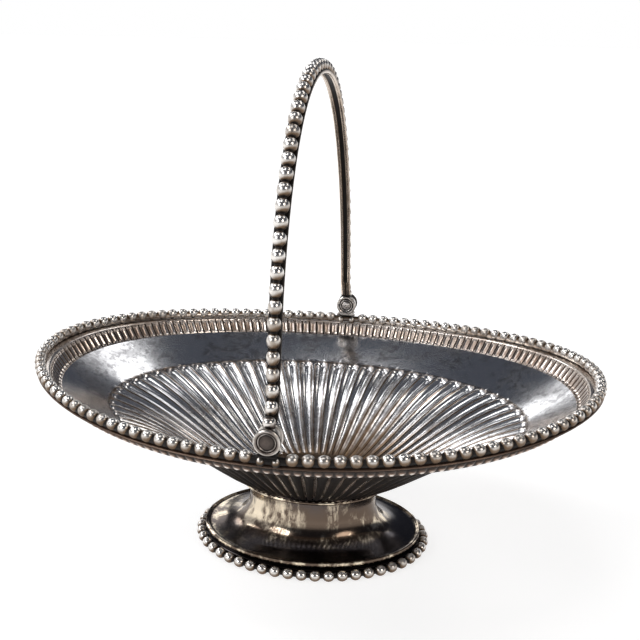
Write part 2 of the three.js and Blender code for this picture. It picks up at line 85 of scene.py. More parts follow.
def camera_axes():
    """The camera's right, up and backward directions."""
    flat = math.cos(CAMERA_ELEVATION)
    across, towards = math.sin(CAMERA_AZIMUTH) * flat, -math.cos(CAMERA_AZIMUTH) * flat
    back = Vector((across, towards, math.sin(CAMERA_ELEVATION)))
    level = Vector((0, 0, 1)).cross(back).normalized()
    right = Matrix.Rotation(CAMERA_ROLL, 3, back) @ level
    return right, back.cross(right), back


def place_camera():
    right, up, back = camera_axes()
    lens = bpy.data.cameras.new("camera")
    lens.sensor_width = SENSOR_WIDTH
    lens.lens = FOCAL_PIXELS / PHOTO_WIDTH * SENSOR_WIDTH
    lens.shift_x = 0.5 - CENTRE_PIXEL[0] / PHOTO_WIDTH
    lens.shift_y = CENTRE_PIXEL[1] / PHOTO_WIDTH - 0.5
    lens.clip_start = NEAREST_SEEN
    camera = bpy.data.objects.new("camera", lens)
    turn = Matrix((right, up, back)).transposed().to_4x4()
    camera.matrix_world = Matrix.Translation(CAMERA_TARGET + back * CAMERA_DISTANCE) @ turn
    bpy.context.scene.collection.objects.link(camera)
    bpy.context.scene.camera = camera


place_camera()
bpy.context.scene.view_settings.view_transform = "Standard"

# %% [markdown]
# ## Shader maths as Python
# A metal's look is mostly arithmetic on a few patterns. One small class wraps a socket,
# so that `1 - mask` or `cloud * 0.3` adds the Math node it needs, and one method adds
# any other node. Numbers that are the same all over stay plain numbers.

# %% Wrap sockets for shader maths
class Value:
    """A socket of a node, with Python's operators."""

    def __init__(self, graph, socket):
        self.graph = graph
        self.socket = socket

    def math(self, operation, *values):
        return self.graph.node("ShaderNodeMath", {"operation": operation}, values)

    def __add__(self, other):
        return self.math("ADD", self, other)

    def __mul__(self, other):
        return self.math("MULTIPLY", self, other)

    def __sub__(self, other):
        return self.math("SUBTRACT", self, other)

    def __rsub__(self, other):
        return self.math("SUBTRACT", other, self)

    __radd__ = __add__
    __rmul__ = __mul__

    def clamp(self):
        return self.graph.node("ShaderNodeClamp", {}, [self, 0.0, 1.0])

    def above(self, low, high):
        """0 below low, 1 above high, and smooth between them."""
        settings = {"interpolation_type": "SMOOTHSTEP"}
        return self.graph.node("ShaderNodeMapRange", settings, [self, low, high, 0.0, 1.0])


# %% Wrap a node tree
class Graph:
    """A node tree under construction."""

    def __init__(self, tree):
        self.tree = tree

    def node(self, kind, settings, inputs, output=0):
        """Adds a node, its settings first, then the values or links of its sockets."""
        made = self.tree.nodes.new(kind)
        for key, value in settings.items():
            setattr(made, key, value)
        pairs = inputs.items() if isinstance(inputs, dict) else enumerate(inputs)
        for key, value in pairs:
            self.feed(made.inputs[key], value)
        return Value(self, made.outputs[output])

    def feed(self, socket, value):
        if isinstance(value, Value):
            self.tree.links.new(value.socket, socket)
        else:
            socket.default_value = value

    def place(self, scale=(1, 1, 1)):
        coordinates = self.node("ShaderNodeTexCoord", {}, [], "Object")
        return self.node("ShaderNodeMapping", {}, {"Vector": coordinates, "Scale": scale})

    def noise(self, place, scale, detail, roughness, distortion=0.0):
        inputs = {"Vector": place, "Scale": scale, "Detail": detail,
                  "Roughness": roughness, "Distortion": distortion}
        return self.node("ShaderNodeTexNoise", {}, inputs)

    def attribute(self, name):
        return self.node("ShaderNodeAttribute", {"attribute_name": name}, [], "Fac")

    def mix(self, share, first, second):
        inputs = {0: share, 6: first, 7: second}
        return self.node("ShaderNodeMix", {"data_type": "RGBA"}, inputs, 2)


def colour(red, green, blue):
    return (red, green, blue, 1.0)


# %% [markdown]
# ## Old silver plate
# Polished silver is nearly white and takes its darks from the room. On an old piece a
# brown-black tarnish stays wherever the cloth can't reach, so every mesh here carries
# a value for it: 0 on what is rubbed and 1 at the bottom of a groove. The same value
# also carries painted shade and painted light: darker downward halves of beads, dark
# lobes under the bowl, a dark flange, dark beads, bases and outer ears at the hinges,
# and lighter faces turned to the bowl. A second value, satin, is 1 where the plate is
# worn less smooth. Clouds of faint tarnish with a grain in them, hairline scratches and
# soft dents lie over all of it; on the foot the clouds run in upright streaks that are
# painted reflections.

# %% Mix old silver
BROWN = (0.17, 0.115, 0.075)
BLACK = colour(0.016, 0.013, 0.012)
FINE_SCALE = 240.0
SPECK_SCALE = 1100.0
STREAKS = (2, 2, 0.5)
SATIN_ROUGHNESS = 0.04


def silver(name, bright, dull, shine, cloud_scale=26.0, brown=BROWN, streaked=False):
    """Silver plate. Bright and dull are its rubbed and clouded colours, shine is the
    roughness of the two, and brown is its first tarnish, which also colours painted shade.
    A streaked plate clouds in upright streaks, painted reflections of windows as well as
    tarnish, and its tarnish shines as the plate does."""
    material = bpy.data.materials.new(f"old_silver_{name}")
    material.use_nodes = True
    graph = Graph(material.node_tree)
    place = graph.place()
    # Upright streaks: painted reflections of windows as well as tarnish.
    cloud_place = graph.place(STREAKS) if streaked else place
    clouds = graph.noise(cloud_place, cloud_scale, 5.0, 0.62, 0.4)
    fine = graph.noise(place, FINE_SCALE, 4.0, 0.65)
    specks = graph.noise(place, SPECK_SCALE, 2.0, 0.7).above(0.56, 0.75)
    blotches = clouds.above(0.37, 0.56) if streaked else clouds.above(0.40, 0.70)
    grain = fine.above(0.48, 0.60) * clouds.above(0.42, 0.55)
    dulled = blotches * (1.0 if streaked else 0.7) + specks * 0.18 + grain * 0.55
    plate = graph.mix(dulled, colour(*bright), colour(*dull))
    # The value read here is groove tarnish together with painted shade and painted light.
    ragged = graph.attribute("hollow") + (clouds - 0.5) * 0.30 + (fine - 0.5) * 0.25
    first = ragged.above(0.08, 0.55)
    second = ragged.above(0.5, 1.0)
    rough = blotches * ((shine[1] - shine[0]) * 0.6) + fine * 0.08 + shine[0]
    rough = rough + graph.attribute("satin") * SATIN_ROUGHNESS
    rough = rough if streaked else rough + first * 0.12 + second * 0.2
    inputs = material.node_tree.nodes["Principled BSDF"].inputs
    tarnished_and_shaded = graph.mix(first, plate, colour(*brown))
    graph.feed(inputs["Base Color"], graph.mix(second, tarnished_and_shaded, BLACK))
    graph.feed(inputs["Metallic"], 1.0 - second * (0.1 if streaked else 0.4))
    graph.feed(inputs["Roughness"], rough.clamp())
    graph.feed(inputs["Normal"], wear(graph, place))
    return material


def wear(graph, place):
    """Hairline scratches both ways and soft dents, as a bump."""
    along = graph.noise(graph.place((30, 420, 300)), 3.0, 2.0, 0.6)
    across = graph.noise(graph.place((420, 40, 300)), 2.5, 2.0, 0.6)
    dents = graph.noise(place, 70.0, 2.0, 0.5)
    height = along * 0.25 + across * 0.25 + dents * 0.6
    inputs = {"Strength": 0.08, "Distance": 0.0006, "Height": height}
    return graph.node("ShaderNodeBump", {}, inputs)


# %% Make the silver finishes
FINISHES = {
    "well": silver("well", (0.88, 0.88, 0.89), (0.38, 0.375, 0.385), shine=(0.12, 0.28)),
    "rim": silver("rim", (0.84, 0.77, 0.71), (0.50, 0.42, 0.36), shine=(0.18, 0.34),
                  brown=(0.26, 0.175, 0.13)),
    "beads": silver("beads", (0.93, 0.90, 0.86), (0.60, 0.54, 0.48), shine=(0.20, 0.34)),
    # The foot's near-black colours and golden streaks are partly painted reflection, of a dark
    # room and of windows, and partly tarnish.
    "foot": silver("foot", (0.84, 0.72, 0.55), (0.13, 0.095, 0.072), shine=(0.07, 0.16),
                   cloud_scale=46.0, brown=(0.115, 0.105, 0.110), streaked=True),
    "strap": silver("strap", (0.64, 0.54, 0.45), (0.34, 0.27, 0.21), shine=(0.14, 0.34)),
    "hinge": silver("hinge", (0.84, 0.80, 0.76), (0.58, 0.53, 0.48), shine=(0.16, 0.34),
                    brown=(0.15, 0.12, 0.105)),
}
print("finishes:", ", ".join(FINISHES))

# %% [markdown]
# ## The oval lines
# The bowl isn't round, so it can't be spun. A flat grid is bent round instead: its
# columns become steps of one length along the rim, and its rows become ovals. Every
# oval has its own width and its share of the rim's rise towards the two ends.

# %% Sizes of the bowl
MM = 0.001
SHEET = 1.6 * MM
RIM_HALF = 165 * MM
RIM_HALF_WIDE = 126.5 * MM
RIM_HEIGHT = 112.5 * MM
RIM_RISE = 4.7 * MM
RISE_POWER = 4
WELL_HALF = 126.5 * MM
WELL_HALF_WIDE = 88.5 * MM
LEDGE_HALF = 153.4 * MM
FLOOR_HALF = 38 * MM
FLOOR_HALF_WIDE = 29 * MM
LATE_WIDTH = 0.33
FLOOR_HEIGHT = 41.1 * MM
WELL_EDGE_HEIGHT = 86.6 * MM
LEDGE_HEIGHT = 100.2 * MM

# %% Ovals of the bowl
TURN = 2 * math.pi
OVAL_POINTS = 7201


def blend(low, high, share):
    return low + (high - low) * share


def half_width(out):
    """Half the width of the bowl's oval that reaches this far out along the length."""
    if out <= FLOOR_HALF:
        return out * FLOOR_HALF_WIDE / FLOOR_HALF
    if out >= LEDGE_HALF:
        return out * RIM_HALF_WIDE / RIM_HALF
    if out > WELL_HALF:
        share = (out - WELL_HALF) / (LEDGE_HALF - WELL_HALF)
        return blend(WELL_HALF_WIDE, LEDGE_HALF * RIM_HALF_WIDE / RIM_HALF, share)
    share = (out - FLOOR_HALF) / (WELL_HALF - FLOOR_HALF)
    return blend(FLOOR_HALF_WIDE, WELL_HALF_WIDE, blend(share, share * share, LATE_WIDTH))


def rise(out, turn):
    share = max(0.0, out - FLOOR_HALF) / (RIM_HALF - FLOOR_HALF)
    return RIM_RISE * share ** RISE_POWER * np.cos(2 * turn)


def walk_round(half_long, half_wide):
    """Turns round an oval in small steps, in radians, and the way walked to each."""
    turn = np.linspace(0, TURN, OVAL_POINTS)
    steps = np.hypot(half_long * np.diff(np.cos(turn)), half_wide * np.diff(np.sin(turn)))
    return turn, np.concatenate([[0], np.cumsum(steps)])


def turns_at(half_long, half_wide, shares):
    """Turns round an oval, in radians, at shares of its whole length."""
    turn, run = walk_round(half_long, half_wide)
    whole = np.floor(shares)
    return np.interp((shares - whole) * run[-1], run, turn) + TURN * whole


RIM_AROUND = float(walk_round(RIM_HALF, RIM_HALF_WIDE)[1][-1])
print("rim:", round(RIM_AROUND / MM), "mm round")

# %% [markdown]
# ## Helpers for meshes
# Three ways of making a mesh serve for most of the basket: a grid bent round an oval, a
# section swept along a path, and a round piece spun as on a lathe. Each mesh gets its
# finish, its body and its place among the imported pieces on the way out.

# %% Turn a bmesh into a finished piece
MERGE_WITHIN = 1e-7
SHARP_FROM = math.radians(38)
HINGE_HEIGHT = 117.7 * MM
HANDLE_LEAN = math.radians(-0.6)


def finish_piece(name, bm, finish, body, nodes):
    """Writes the mesh into an object at the origin, hangs it on its body and hides the
    imported nodes it replaces. All that rides the handle leans with it about the hinges."""
    if body == "handle":
        lean = Matrix.Rotation(HANDLE_LEAN, 3, "Y")
        bmesh.ops.rotate(bm, verts=bm.verts, cent=(0, 0, HINGE_HEIGHT), matrix=lean)
    mesh = bpy.data.meshes.new(name)
    bmesh.ops.remove_doubles(bm, verts=bm.verts, dist=MERGE_WITHIN)
    bmesh.ops.recalc_face_normals(bm, faces=bm.faces)
    bm.to_mesh(mesh)
    bm.free()
    mesh.shade_smooth()
    mesh.set_sharp_from_angle(angle=SHARP_FROM)
    mesh.materials.append(FINISHES[finish])
    piece = bpy.data.objects.new(name, mesh)
    bpy.context.scene.collection.objects.link(piece)
    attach(piece, body)
    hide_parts(*nodes)
    print(f"{name}: {len(mesh.polygons)} faces")


def tarnish_and_shade_layer(bm):
    return bm.verts.layers.float.get("hollow") or bm.verts.layers.float.new("hollow")


# %% Bend a grid round an oval
def bent_grid(places, tarnish_and_shade_values, closed, satins=None):
    """A grid whose row i and column j lie at places[i, j]. Its columns go all round.
    Satins are one value for each row."""
    rows, steps, _ = places.shape
    bm = bmesh.new()
    hollow = tarnish_and_shade_layer(bm)
    satin = bm.verts.layers.float.new("satin")
    spans = rows if closed else rows - 1
    bmesh.ops.create_grid(bm, x_segments=steps, y_segments=spans, size=0.5)
    for vert in bm.verts:
        column = round((vert.co.x + 0.5) * steps) % steps
        row = round((vert.co.y + 0.5) * spans) % rows
        vert[hollow] = tarnish_and_shade_values[row, column]
        vert[satin] = satins[row] if satins else 0
        vert.co = places[row, column]
    return bm


# %% Spin an outline as on a lathe
def spin_outline(bm, outline, steps, closed):
    """Spins points of (radius, height, tarnish and shade) about Z and returns the new vertices.
    """
    hollow = tarnish_and_shade_layer(bm)
    known = set(bm.verts)
    line = [bm.verts.new((radius, 0, height)) for radius, height, _ in outline]
    for vert, (_, _, shade) in zip(line, outline):
        vert[hollow] = shade
    ends = line[1:] + line[:1] if closed else line[1:]
    edges = [bm.edges.new(pair) for pair in zip(line, ends)]
    bmesh.ops.spin(bm, geom=line + edges, cent=(0, 0, 0), axis=(0, 0, 1), angle=TURN,
                   steps=steps, use_merge=True)
    return [vert for vert in bm.verts if vert not in known]


# %% Sweep a section along a path
def sweep(bm, loops):
    """Joins loops of points in a row with quads and closes both ends. Returns rings."""
    ring = [bm.verts.new(point) for point in loops[0]]
    edges = [bm.edges.new(pair) for pair in zip(ring, ring[1:] + ring[:1])]
    bm.faces.new(ring)
    rings = [ring]
    for loop in loops[1:]:
        order = {tuple(vert.co): k for k, vert in enumerate(rings[-1])}
        made = bmesh.ops.extrude_edge_only(bm, edges=edges)["geom"]
        edges = [item for item in made if isinstance(item, bmesh.types.BMEdge)]
        heads = [item for item in made if isinstance(item, bmesh.types.BMVert)]
        ring = sorted(heads, key=lambda vert: order[tuple(vert.co)])
        for vert, point in zip(ring, loop):
            vert.co = point
        rings.append(ring)
    bm.faces.new(reversed(rings[-1]))
    return rings


# %% Smooth lines through a few points
def smooth_line(points, per_span):
    """A smooth line through points in the plane, with even steps in each span."""
    line = [Vector(point) for point in points]
    ends = [line[0] * 2 - line[1], *line, line[-1] * 2 - line[-2]]
    made = []
    for before, here, there, after in zip(ends, ends[1:], ends[2:], ends[3:]):
        first = here + (there - before) / 6
        second = there - (after - here) / 6
        corners = [point.to_3d() for point in (here, first, second, there)]
        span = interpolate_bezier(*corners, per_span + 1)
        made.extend(point.to_2d() for point in span[:-1])
    return [*made, line[-1]]


def walk(line, distances):
    """Points at distances along a line in the plane, and the line's length."""
    steps = [(b - a).length for a, b in zip(line, line[1:])]
    run = np.concatenate([[0], np.cumsum(steps)])
    outs = np.interp(distances, run, [point.x for point in line])
    heights = np.interp(distances, run, [point.y for point in line])
    return list(zip(outs, heights)), run[-1]


def squares(section):
    """For each point of an open section, the direction square to it on its left."""
    result = []
    for i, _ in enumerate(section):
        before = Vector(section[max(i - 1, 0)])
        after = Vector(section[min(i + 1, len(section) - 1)])
        along = (after - before).normalized()
        result.append(Vector((-along.y, along.x)))
    return result


# %% [markdown]
# ## The fluted bowl
# Sixty-four wide channels run down the well. They begin in round ends under the plain
# band, with a narrow ridge between two channels that widens to a small flat at its
# top, and they end again at the neck. The sheet is pressed, so the same shape stands
# out as lobes underneath. The columns of the mesh crowd together along the ridges.

# %% Rows of a pressed sheet
Row = namedtuple("Row", "out height lean from_top from_low under")
NOT_ZERO = 1e-12
LEAST = 1e-6


def sheet_rows(points, from_top, from_low):
    """Rows of the upper face from the inside out, then of the under face back in."""
    upper = [Row(*point, lean, top, low, False)
             for point, lean, top, low in zip(points, squares(points), from_top, from_low)]
    lower = []
    for row in upper:
        out, height = row.out - row.lean.x * SHEET, row.height - row.lean.y * SHEET
        lower.append(row._replace(out=max(out, 0), height=height, under=True))
    return [*upper, *reversed(lower)]


def press(rows, shares, depths_at):
    """Where each row lies at each share of the rim, pressed square to the sheet."""
    turn = turns_at(RIM_HALF, RIM_HALF_WIDE, shares)
    cos, sin = np.cos(turn), np.sin(turn)
    whole = np.hypot(RIM_HALF * sin, RIM_HALF_WIDE * cos)
    places = np.zeros((len(rows), len(shares), 3))
    depths = np.zeros((len(rows), len(shares)))
    for i, row in enumerate(rows):
        wide = half_width(row.out)
        scale = np.hypot(row.out * sin, wide * cos) / whole
        depth = depths_at(row, scale)
        side = np.hypot(wide * cos, row.out * sin) + NOT_ZERO
        places[i, :, 0] = row.out * cos - wide * cos / side * row.lean.x * depth
        places[i, :, 1] = wide * sin - row.out * sin / side * row.lean.x * depth
        places[i, :, 2] = row.height + rise(row.out, turn) - row.lean.y * depth
        depths[i] = depth
    return places, depths


# %% Columns and round ends of flutes
def crowded(count, columns, crowding):
    """Shares of the rim for the columns of each flute, and how far each lies from the
    flute's middle as a share of its pitch."""
    index = np.arange(count * columns)
    even = (index % columns) / columns
    even = np.where(even > 0.5, even - 1, even)
    warped = even + crowding * np.sin(TURN * even) / TURN
    return (np.round(index / columns - even) + warped) / count, warped


def rounding(distance, radius):
    """Grows from 0 to 1 like the side of a circle."""
    near = 1 - np.clip(distance / radius, 0, 1)
    return math.sqrt(1 - near * near)


# %% Shape of the flutes
FLUTES = 64
FLUTE_COLUMNS = 16
CROWDING = 0.55
FLUTE_DEPTH = 2.5 * MM
DEPTH_TO_PITCH = 0.27
RIDGE_WIDTH = 1.25 * MM
RIDGE_SPREAD = 1.0 * MM
RIDGE_FADE = 6 * MM
TOP_ROUND = 4.0 * MM
LOW_ROUND = 3.0 * MM
FLUTE_FOOT = 5 * MM
FLOOR_EASE = (0.23, 0.02)
EDGE_EASE = (0.43, 0.22)
WELL_STEPS = 80
FLOOR_SHARES = (0.0, 0.5, 0.9)
FOOT_ROWS, WALL_ROWS, TOP_ROWS = 9, 16, 12
BAND_SHARES = (0.08, 0.25, 0.5, 0.75, 0.93, 1.0)


def well_line():
    """The well's section from the floor's edge up to the plain band."""
    low = Vector((FLOOR_HALF, 0, FLOOR_HEIGHT))
    high = Vector((WELL_HALF, 0, WELL_EDGE_HEIGHT))
    reach, climb = high.x - low.x, high.z - low.z
    leave = low + Vector((FLOOR_EASE[0] * reach, 0, FLOOR_EASE[1] * climb))
    arrive = high - Vector((EDGE_EASE[0] * reach, 0, EDGE_EASE[1] * climb))
    line = interpolate_bezier(low, leave, arrive, high, WELL_STEPS)
    return [Vector((point.x, point.z)) for point in line]


def bowl_rows():
    """Rows of the floor, the well and the plain band, closest at the flutes' ends."""
    line = well_line()
    _, length = walk(line, [0])
    low, top = FLUTE_FOOT + LOW_ROUND, length - 1.6 * TOP_ROUND
    runs = [*np.linspace(0, low, FOOT_ROWS), *np.linspace(low, top, WALL_ROWS)[1:],
            *np.linspace(top, length, TOP_ROWS)[1:]]
    well, _ = walk(line, runs)
    floor = [(share * FLOOR_HALF, FLOOR_HEIGHT) for share in FLOOR_SHARES]
    band = [(blend(WELL_HALF, LEDGE_HALF, share), blend(WELL_EDGE_HEIGHT, LEDGE_HEIGHT, share))
            for share in BAND_SHARES]
    from_top = [1.0] * len(floor) + [length - run for run in runs] + [0.0] * len(band)
    from_low = [0.0] * len(floor) + [run - FLUTE_FOOT for run in runs] + [1.0] * len(band)
    return sheet_rows(floor + well + band, from_top, from_low)


# %% Tarnish and painted shade in the well
WELL_EDGE = WELL_HALF + 0.1 * MM
FOOT_TARNISH = (0.25, 9 * MM)
WALL_TARNISH = (0.16, 30 * MM)
AGED_TARNISH = (0.34, 48 * MM)
AGED_TURN = 0.7
TOP_REACH = 3 * MM
SEAM_TARNISH = 0.7
SEAM_SHARE = 0.14
SEAM_WIDTH = 0.12
# Under the bowl: painted light on the lines behind the ridges, painted dark on the lobes and on
# the band's underside.
LOBE_PAINTED_SHADES = (0.0, 0.95)
BAND_UNDER_PAINTED_SHADE = 0.75


def well_tarnish_and_shade(row, share, right):
    """Tarnish lies at the foot of the well, higher up on its right, and along both sides
    of each channel. The flats between the channels' tops are painted darker, as painted
    shade where they would catch glints. Share is the depth of a channel as a share of
    its deepest, and right says how much a column is on the right."""
    up = max(row.from_low, 0)
    low = FOOT_TARNISH[0] * math.exp(-up / FOOT_TARNISH[1])
    low += WALL_TARNISH[0] * math.exp(-up / WALL_TARNISH[1])
    aged = AGED_TARNISH[0] * math.exp(-(up / AGED_TARNISH[1]) ** 2) * right
    near_top = math.exp(-(row.from_top / TOP_REACH) ** 2)
    seam = SEAM_TARNISH * np.exp(-((share - SEAM_SHARE) / SEAM_WIDTH) ** 2)
    # Painted shade on the flats between the channels' tops, where they would catch glints.
    glint_shade = np.where(share < 0.3, 0.4, 0.2 * share)
    return low + aged + seam * (1 - near_top) + near_top * glint_shade


# %% Make the bowl
def make_bowl():
    rows = bowl_rows()
    shares, across = crowded(FLUTES, FLUTE_COLUMNS, CROWDING)
    pitch_at_rim = RIM_AROUND / FLUTES

    def depths_at(row, scale):
        pitch = pitch_at_rim * scale
        ends = rounding(row.from_top, TOP_ROUND) * rounding(row.from_low, LOW_ROUND)
        ridge = RIDGE_WIDTH + RIDGE_SPREAD * math.exp(-row.from_top / RIDGE_FADE)
        half = np.maximum((pitch - ridge) / 2 * ends, LEAST)
        deep = np.minimum(FLUTE_DEPTH, DEPTH_TO_PITCH * pitch) * ends
        return deep * np.clip(1 - (across * pitch / half) ** 2, 0, 1)

    places, depths = press(rows, shares, depths_at)
    tarnish_and_shade_values = np.zeros(depths.shape)
    turns = turns_at(RIM_HALF, RIM_HALF_WIDE, shares)
    right = np.clip(np.cos(turns - AGED_TURN), 0, 1) ** 2
    for i, row in enumerate(rows):
        share = depths[i] / max(depths[i].max(), LEAST)
        # Underneath, the lines behind the ridges are painted highlights, and the lobes and band
        # are painted dark reflections.
        if row.under and row.from_top > 0:
            tarnish_and_shade_values[i] = np.where(share < 0.1, *LOBE_PAINTED_SHADES)
        elif row.under:
            tarnish_and_shade_values[i] = BAND_UNDER_PAINTED_SHADE
        elif row.out < WELL_EDGE:
            tarnish_and_shade_values[i] = well_tarnish_and_shade(row, share, right)
    satins = [float(row.from_top > 0) for row in rows]
    bm = bent_grid(places, tarnish_and_shade_values, False, satins)
    finish_piece("bowl_sheet", bm, "well", "basket", ["bowl"])


make_bowl()

# %% [markdown]
# ## The rim's short flutes and its strip
# Above the ledge stands a narrow band of short round-ended flutes, then a plain strip,
# and the flat lip that carries the beads. It is one sheet with the bowl on the real
# piece. Here it is a mesh of its own, because it needs many more columns round it.

# %% Sizes of the fluted rim
SHORT_FLUTES = 170
SHORT_COLUMNS = 10
SHORT_CROWDING = 0.35
SHORT_DEPTH = 1.1 * MM
SHORT_RIDGE = 0.7 * MM
SHORT_ROUND = 2.0 * MM
SHORT_MARGIN = 0.3 * MM
SHORT_END = 2.2 * MM
BAND_TOP = (158.9 * MM, 108.2 * MM)
STRIP = [(159.1, 108.5), (159.6, 108.85), (160.3, 109.0), (162.5, 109.05), (166.4, 109.0),
         (167.1, 108.8), (167.4, 108.3)]
CHANNEL_HOLLOW = 0.45
RIDGE_SHARE = 0.38
TIP_MIDDLE = 1.3 * MM
TIP_REACH = 1.6 * MM
LIP_HOLLOW = 0.7
STRIP_HOLLOW = 0.15


def in_metres(points):
    return [(out * MM, height * MM) for out, height in points]


# %% Make the fluted rim
def rim_rows():
    """Rows from just inside the ledge up over the short flutes to the lip."""
    line = [Vector((LEDGE_HALF, LEDGE_HEIGHT)), Vector(BAND_TOP)]
    length = (line[1] - line[0]).length
    runs = np.concatenate([np.linspace(SHORT_MARGIN, SHORT_END, 5),
                           np.linspace(SHORT_END, length - SHORT_END, 4)[1:],
                           np.linspace(length - SHORT_END, length - SHORT_MARGIN, 5)[1:]])
    points, _ = walk(line, runs)
    below = [(LEDGE_HALF - 0.5 * MM, LEDGE_HEIGHT - 0.1 * MM),
             (LEDGE_HALF - 0.3 * MM, LEDGE_HEIGHT + 0.25 * MM)]
    plain = [0.0] * len(STRIP)
    from_low = [0.0, 0.0] + [run - SHORT_MARGIN for run in runs] + plain
    from_top = [1.0, 1.0] + [length - SHORT_MARGIN - run for run in runs] + plain
    return sheet_rows(below + points + in_metres(STRIP), from_top, from_low)


def make_rim():
    rows = rim_rows()
    shares, across = crowded(SHORT_FLUTES, SHORT_COLUMNS, SHORT_CROWDING)
    pitch_at_rim = RIM_AROUND / SHORT_FLUTES

    def depths_at(row, scale):
        pitch = pitch_at_rim * scale
        ends = rounding(row.from_top, SHORT_ROUND) * rounding(row.from_low, SHORT_ROUND)
        half = np.maximum((pitch - SHORT_RIDGE) / 2 * ends, LEAST)
        return SHORT_DEPTH * ends * np.clip(1 - (across * pitch / half) ** 2, 0, 1)

    places, depths = press(rows, shares, depths_at)
    ridges = np.where(np.abs(across) > RIDGE_SHARE, 1.0, 0)
    tarnish_and_shade_values = CHANNEL_HOLLOW * (depths / SHORT_DEPTH) ** 3 + ridges
    for i, row in enumerate(rows):
        # The under face is painted dark as painted shade below the beads, and the short flutes'
        # lower tips are painted light as painted highlights.
        if row.under:
            painted_tip_light = math.exp(-((row.from_low - TIP_MIDDLE) / TIP_REACH) ** 2)
            tarnish_and_shade_values[i] = 0.9 - 1.1 * painted_tip_light * (depths[i] / max(depths[i].max(), LEAST)) ** 2
        elif row.out > RIM_HALF:
            tarnish_and_shade_values[i] = LIP_HOLLOW
        elif row.from_top == 0 and row.from_low == 0:
            tarnish_and_shade_values[i] = STRIP_HOLLOW
    bm = bent_grid(places, tarnish_and_shade_values, True)
    finish_piece("rim_sheet", bm, "rim", "basket", ["bowl"])


make_rim()

# %% [markdown]
# ## Beads
# Strings of cast beads edge the rim, the foot and the handle. Polish reaches their
# round faces only, so the necks between them are black. Each bead is a low sphere with
# its poles on the string, and its tarnish grows towards the poles. Its downward half
# carries painted shade, and its side towards the bowl painted light.

# %% Helpers for beads
UP = Vector((0, 0, 1))
HINGE_SHARE = 0.25
BEAD_ROUND = 12
BEAD_ALONG = 8
NECK_FROM = 0.66
STRING_SIDES = 8
# Round the rings' strings: black, with painted light on the side towards the bowl and below it.
STRING_SHADES = (1, 1, 0.9, 0.7, 0.25, 0.3, 0.6, 1)


def upward(along):
    """The direction square to a line that comes nearest to up."""
    return (UP - along * UP.dot(along)).normalized()


def add_bead(bm, centre, along, up, radius, half_along, shade, seat=None):
    """Adds one bead. Shade is the painted shade on its downward half, painted lighter
    again on its left side. A seat is how far down the bead goes before it is cut flat."""
    hollow = tarnish_and_shade_layer(bm)
    side = along.cross(up)
    made = bmesh.ops.create_uvsphere(bm, u_segments=BEAD_ROUND, v_segments=BEAD_ALONG, radius=1)
    for vert in made["verts"]:
        x, y, z = vert.co
        outward = side * x + up * y + along * z
        neck = max(0.0, abs(z) - NECK_FROM) / 0.3
        # Painted shade on the half that faces down, and painted light on the left side, which on
        # the rim faces the bowl.
        low = min(1.0, max(0.0, 0.6 - outward.z) / 0.9)
        painted_light = 0.6 * min(1.0, max(0.0, 0.5 - x))
        vert[hollow] = min(1.0, neck + shade * low * (1 - painted_light))
        drop = max(y * radius, -seat) if seat else y * radius
        vert.co = centre + side * (x * radius) + up * drop + along * (z * half_along)


def add_string(bm, points, along, up, radius, shades):
    """A round string through closed or open rows of beads. Its shades are values of tarnish
    and painted shade round its section, from the right-hand side over the top."""
    angles = np.linspace(0, TURN, STRING_SIDES + 1)[:-1]
    loops = []
    for point, ahead, over in zip(points, along, up):
        side = ahead.cross(over)
        loops.append([point + (side * math.cos(t) + over * math.sin(t)) * radius for t in angles])
    hollow = tarnish_and_shade_layer(bm)
    for ring in sweep(bm, loops):
        for vert, shade in zip(ring, shades):
            vert[hollow] = shade


# %% Thread beads on a ring
def ring_of_beads(point_at, half_long, half_wide, count, bead, string_radius, string_drop=0.0):
    """A ring of beads with a string through it. The hinge line passes between two. Bead
    gives each one's centre, radius, half its length and shade."""
    bm = bmesh.new()
    for k in range(count):
        shares = HINGE_SHARE + (k + 0.5 + np.array([-0.5, 0, 0.5])) / count
        before, turn, after = turns_at(half_long, half_wide, shares)
        span = point_at(after) - point_at(before)
        along = span.normalized()
        centre, radius, half_along, shade = bead(point_at(turn), span.length / 2)
        add_bead(bm, centre, along, upward(along), radius, half_along, shade)
    turns = turns_at(half_long, half_wide, np.arange(2 * count + 1) / (2 * count))
    points = [point_at(turn) - UP * string_drop for turn in turns]
    around = zip([points[-2], *points[:-1]], [*points[1:], points[1]])
    along = [(after - before).normalized() for before, after in around]
    add_string(bm, points, along, map(upward, along), string_radius, STRING_SHADES)
    return bm


# %% String beads round the rim
RIM_BEADS = 120
RIM_BEAD_RADIUS = 3.3 * MM
RIM_STRING = 2.2 * MM
RIM_STRING_DROP = 0.9 * MM
SEAT_BEAD_RADIUS = 2.3 * MM
SEAT_BEAD_MOVE = Vector((0, -1.4 * MM, -1.4 * MM))
BEAD_SINK = 0.25 * MM
BRACKET_REACH = 10.2 * MM
# Painted shade on the downward halves of the beads; the beads under the hinges carry more, as
# painted shadow under the brackets.
BEAD_SHADE = 0.6
SEAT_BEAD_SHADE = 0.9


def bowl_point(out, height, turn):
    lifted = height + float(rise(out, turn))
    return Vector((out * math.cos(turn), half_width(out) * math.sin(turn), lifted))


def rim_bead_at(turn):
    return bowl_point(RIM_HALF, RIM_HEIGHT - BEAD_SINK, turn)


def rim_bead(centre, half_span):
    """The beads under the hinges are small, and sit lower and off the row. They are
    painted dark, as painted shadow under the brackets.
    """
    if abs(centre.x) < BRACKET_REACH:
        return centre + SEAT_BEAD_MOVE, SEAT_BEAD_RADIUS, SEAT_BEAD_RADIUS, SEAT_BEAD_SHADE
    return centre, RIM_BEAD_RADIUS, half_span * 0.98, BEAD_SHADE


